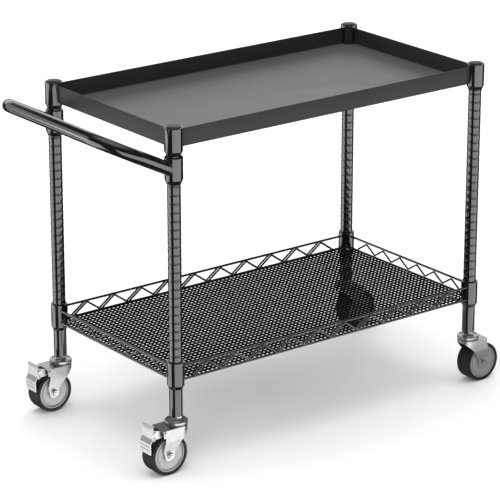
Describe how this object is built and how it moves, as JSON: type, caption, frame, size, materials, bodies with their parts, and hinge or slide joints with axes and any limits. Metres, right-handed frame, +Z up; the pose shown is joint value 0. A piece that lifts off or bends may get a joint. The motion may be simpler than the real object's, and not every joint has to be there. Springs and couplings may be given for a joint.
{
  "type": "wire shelf cart",
  "caption": "Black push cart: sheet-metal tray on four grooved tube posts, raised wire basket shelf below, U-shaped handle, swivel casters with two foot brakes.",
  "frame": {"origin": "on the floor, under the middle of the cart's whole plan outline, handle included", "axes": "+X along the cart away from the push handle, +Y across the cart, +Z up"},
  "size_m": [0.9416, 0.4384, 0.6716],
  "materials": {
    "frame_paint": "gloss black epoxy paint on round tube and welded collars",
    "tray_paint": "satin black-grey powder coat on sheet steel",
    "wire_paint": "semi-gloss black epoxy on steel wire",
    "black_plastic": "moulded black nylon, fine grain",
    "zinc_plate": "bright zinc plate on pressed steel sheet",
    "bright_steel": "turned and plated steel fasteners, balls and bushes",
    "spring_steel": "drawn spring wire",
    "wheel_plastic": "light grey moulded polypropylene wheel centre",
    "tyre_rubber": "solid black rubber tread, slightly worn",
    "shoe_rubber": "hard black brake pad"
  },
  "bodies": {
    "root": {"post_front_left": "frame_paint", "post_front_right": "frame_paint", "post_rear_left": "frame_paint", "post_rear_right": "frame_paint", "tray_collars": "frame_paint", "handle_bar": "frame_paint", "handle_collars": "frame_paint", "shelf_collars": "frame_paint", "tray": "tray_paint", "shelf_truss_front": "wire_paint", "shelf_truss_rear": "wire_paint", "shelf_truss_left": "wire_paint", "shelf_truss_right": "wire_paint", "deck_long_wires": "wire_paint", "deck_cross_wires": "wire_paint", "post_caps": "black_plastic", "split_sleeves": "black_plastic", "post_inserts": "bright_steel", "caster_stems": "bright_steel", "caster_cups": "zinc_plate"},
    "swivel_fl": {"fork_fl": "zinc_plate", "bearing_balls_fl": "bright_steel", "axle_bolt_fl": "bright_steel", "axle_nut_fl": "bright_steel", "axle_bush_fl": "bright_steel", "brake_bracket_fl": "zinc_plate", "pedal_pin_fl": "bright_steel", "brake_spring_fl": "spring_steel"},
    "wheel_fl": {"wheel_core_fl": "wheel_plastic", "tyre_fl": "tyre_rubber"},
    "brake_fl": {"pedal_fl": "zinc_plate", "brake_shoe_fl": "shoe_rubber"},
    "swivel_fr": {"fork_fr": "zinc_plate", "bearing_balls_fr": "bright_steel", "axle_bolt_fr": "bright_steel", "axle_nut_fr": "bright_steel", "axle_bush_fr": "bright_steel"},
    "wheel_fr": {"wheel_core_fr": "wheel_plastic", "tyre_fr": "tyre_rubber"},
    "swivel_rl": {"fork_rl": "zinc_plate", "bearing_balls_rl": "bright_steel", "axle_bolt_rl": "bright_steel", "axle_nut_rl": "bright_steel", "axle_bush_rl": "bright_steel", "brake_bracket_rl": "zinc_plate", "pedal_pin_rl": "bright_steel", "brake_spring_rl": "spring_steel"},
    "wheel_rl": {"wheel_core_rl": "wheel_plastic", "tyre_rl": "tyre_rubber"},
    "brake_rl": {"pedal_rl": "zinc_plate", "brake_shoe_rl": "shoe_rubber"},
    "swivel_rr": {"fork_rr": "zinc_plate", "bearing_balls_rr": "bright_steel", "axle_bolt_rr": "bright_steel", "axle_nut_rr": "bright_steel", "axle_bush_rr": "bright_steel"},
    "wheel_rr": {"wheel_core_rr": "wheel_plastic", "tyre_rr": "tyre_rubber"}
  },
  "joints": [
    {"name": "swivel_turn_fl", "type": "hinge", "parent": "root", "child": "swivel_fl", "pos_m": [-0.32647, -0.1955, 0.092], "axis": [0, 0, 1], "continuous": true},
    {"name": "wheel_spin_fl", "type": "hinge", "parent": "swivel_fl", "child": "wheel_fl", "pos_m": [-0.35377, -0.1955, 0.04], "axis": [0, 1, 0], "continuous": true},
    {"name": "brake_pedal_fl", "type": "hinge", "parent": "swivel_fl", "child": "brake_fl", "pos_m": [-0.38497, -0.1955, 0.09], "axis": [0, 1, 0], "range_deg": [0, 18]},
    {"name": "swivel_turn_fr", "type": "hinge", "parent": "root", "child": "swivel_fr", "pos_m": [0.40353, -0.1955, 0.092], "axis": [0, 0, 1], "continuous": true},
    {"name": "wheel_spin_fr", "type": "hinge", "parent": "swivel_fr", "child": "wheel_fr", "pos_m": [0.43083, -0.1955, 0.04], "axis": [0, 1, 0], "continuous": true},
    {"name": "swivel_turn_rl", "type": "hinge", "parent": "root", "child": "swivel_rl", "pos_m": [-0.32647, 0.1955, 0.092], "axis": [0, 0, 1], "continuous": true},
    {"name": "wheel_spin_rl", "type": "hinge", "parent": "swivel_rl", "child": "wheel_rl", "pos_m": [-0.35377, 0.1955, 0.04], "axis": [0, 1, 0], "continuous": true},
    {"name": "brake_pedal_rl", "type": "hinge", "parent": "swivel_rl", "child": "brake_rl", "pos_m": [-0.38497, 0.1955, 0.09], "axis": [0, 1, 0], "range_deg": [0, 18]},
    {"name": "swivel_turn_rr", "type": "hinge", "parent": "root", "child": "swivel_rr", "pos_m": [0.40353, 0.1955, 0.092], "axis": [0, 0, 1], "continuous": true},
    {"name": "wheel_spin_rr", "type": "hinge", "parent": "swivel_rr", "child": "wheel_rr", "pos_m": [0.43083, 0.1955, 0.04], "axis": [0, 1, 0], "continuous": true}
  ]
}
